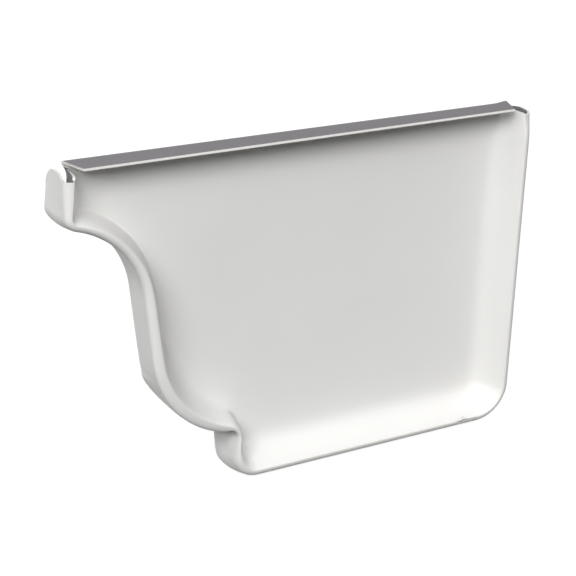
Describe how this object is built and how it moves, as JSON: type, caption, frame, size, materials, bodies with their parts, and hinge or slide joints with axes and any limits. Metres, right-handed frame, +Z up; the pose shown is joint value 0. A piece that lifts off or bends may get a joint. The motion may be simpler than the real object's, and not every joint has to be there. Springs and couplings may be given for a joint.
{
  "type": "gutter end cap",
  "caption": "End cap that closes an ogee roof gutter: a flat pressed web with a channelled bead round its sides and bottom, and a flange folded forward along the top.",
  "frame": {"origin": "centre of the cap's box, on its bottom", "axes": "+Z up, +X from the front lip towards the back that faces the house, -Y the outer face that is seen when the cap is on the gutter"},
  "size_m": [0.127, 0.011, 0.0889],
  "materials": {
    "coated_sheet": "semi-gloss white coil coating on aluminium sheet"
  },
  "bodies": {
    "root": {"end_cap": "coated_sheet"}
  },
  "joints": []
}
